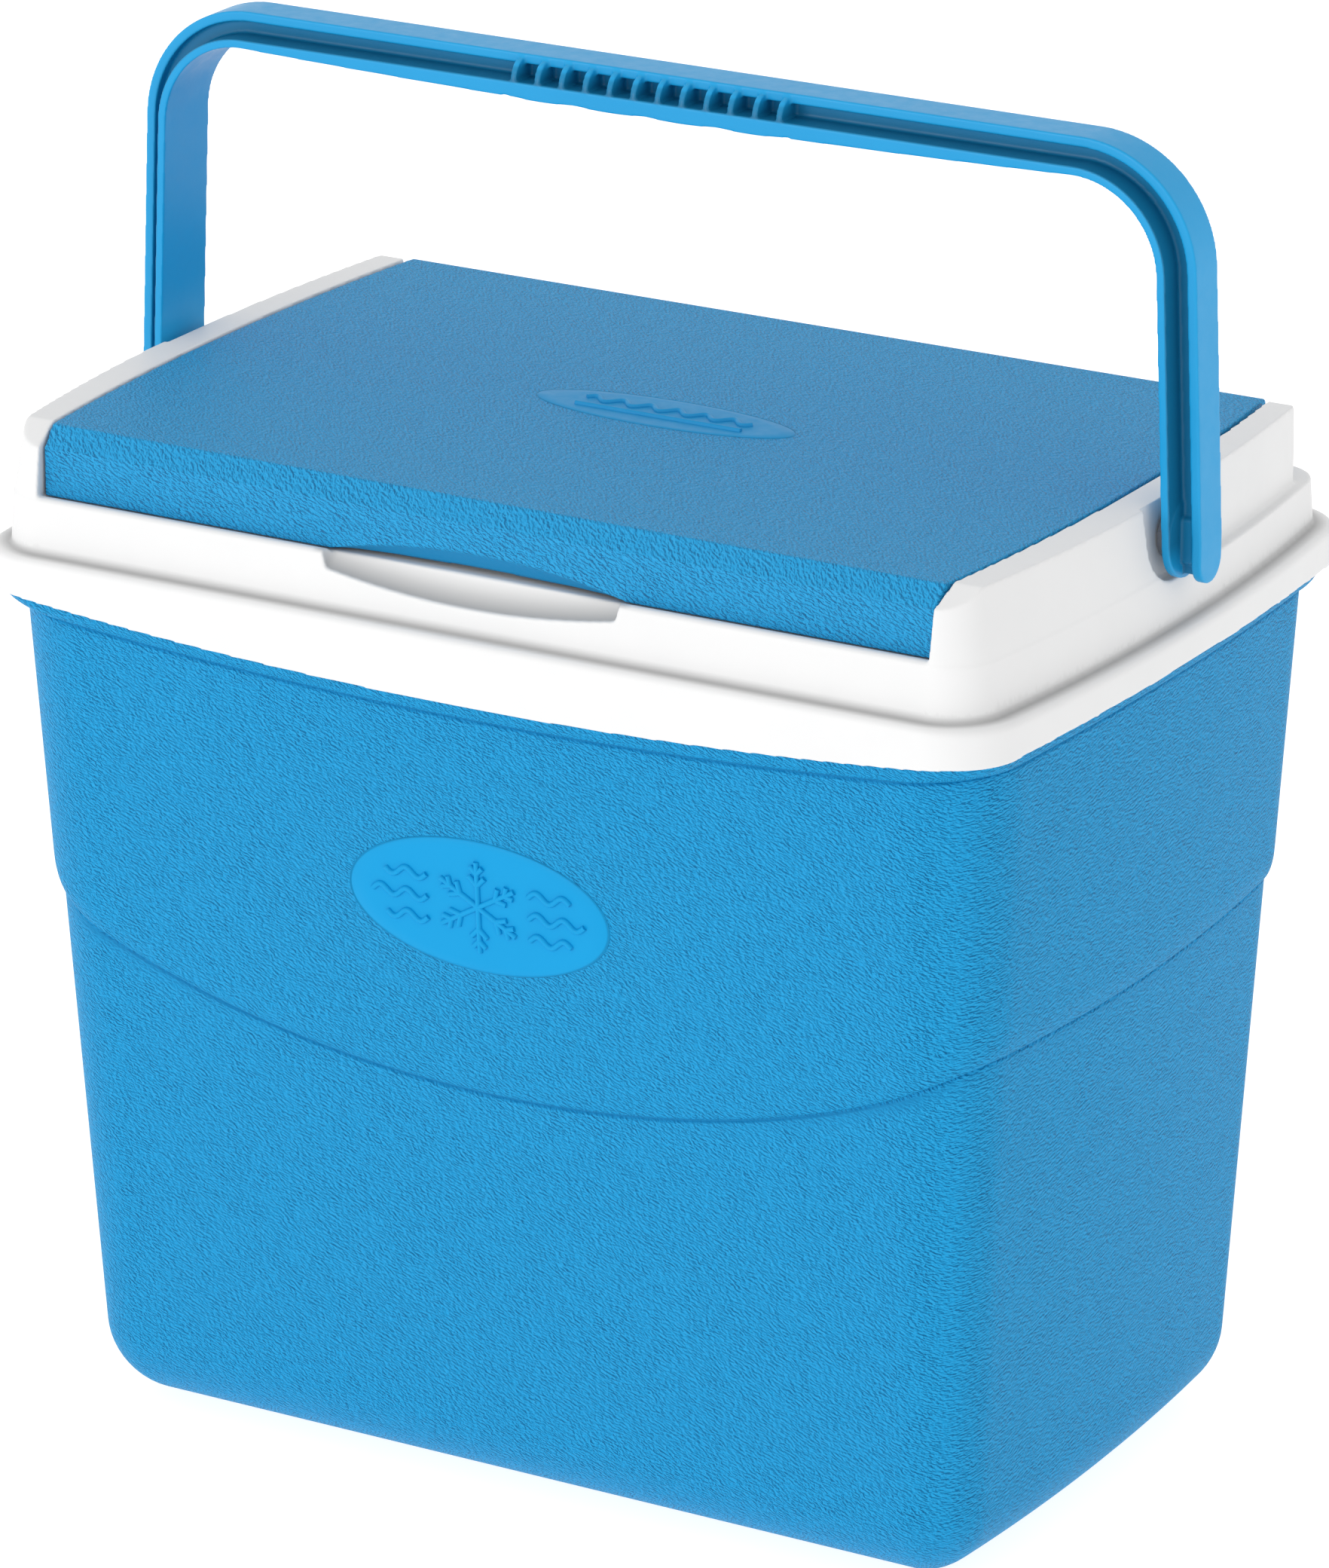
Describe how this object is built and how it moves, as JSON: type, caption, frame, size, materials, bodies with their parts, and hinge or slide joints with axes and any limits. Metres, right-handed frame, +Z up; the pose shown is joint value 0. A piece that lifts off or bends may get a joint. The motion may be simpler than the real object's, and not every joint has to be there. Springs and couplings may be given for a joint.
{
  "type": "picnic cooler chest",
  "caption": "Small insulated picnic cooler: tapered tub, white top frame, hinged lid with finger scoop and fold-back carry handle.",
  "frame": {"origin": "centre of the base, on the surface that the cooler stands on", "axes": "+Z up, +X along the long front towards the right when facing it, -Y is the front"},
  "size_m": [0.3468, 0.2278, 0.4042],
  "materials": {
    "blue_textured": "moulded leather grain, matte",
    "blue_smooth": "smooth satin",
    "white_plastic": "smooth satin",
    "liner_white": "smooth",
    "insulation_foam": "closed-cell foam",
    "seal_rubber": "soft seal",
    "pin_grey": "hard nylon"
  },
  "bodies": {
    "chest": {"outer_shell": "blue_textured", "base_fill_plug": "blue_textured", "body_foam": "insulation_foam", "inner_liner": "liner_white", "top_frame": "white_plastic", "handle_pivot_left": "pin_grey", "handle_pivot_right": "pin_grey", "lid_hinge_pin_left": "pin_grey", "lid_hinge_pin_right": "pin_grey"},
    "lid": {"lid_skin": "blue_textured", "lid_foam": "insulation_foam", "lid_pan": "liner_white", "lid_fill_plug": "liner_white", "lid_gasket": "seal_rubber"},
    "handle": {"carry_handle": "blue_smooth"}
  },
  "joints": [
    {"name": "lid_hinge", "type": "hinge", "parent": "chest", "child": "lid", "pos_m": [0, 0.084, 0.2965], "axis": [-1, 0, 0], "range_deg": [0, 40]},
    {"name": "handle_swing", "type": "hinge", "parent": "chest", "child": "handle", "pos_m": [0, 0.0004, 0.2936], "axis": [-1, 0, 0], "range_deg": [0, 90]}
  ]
}
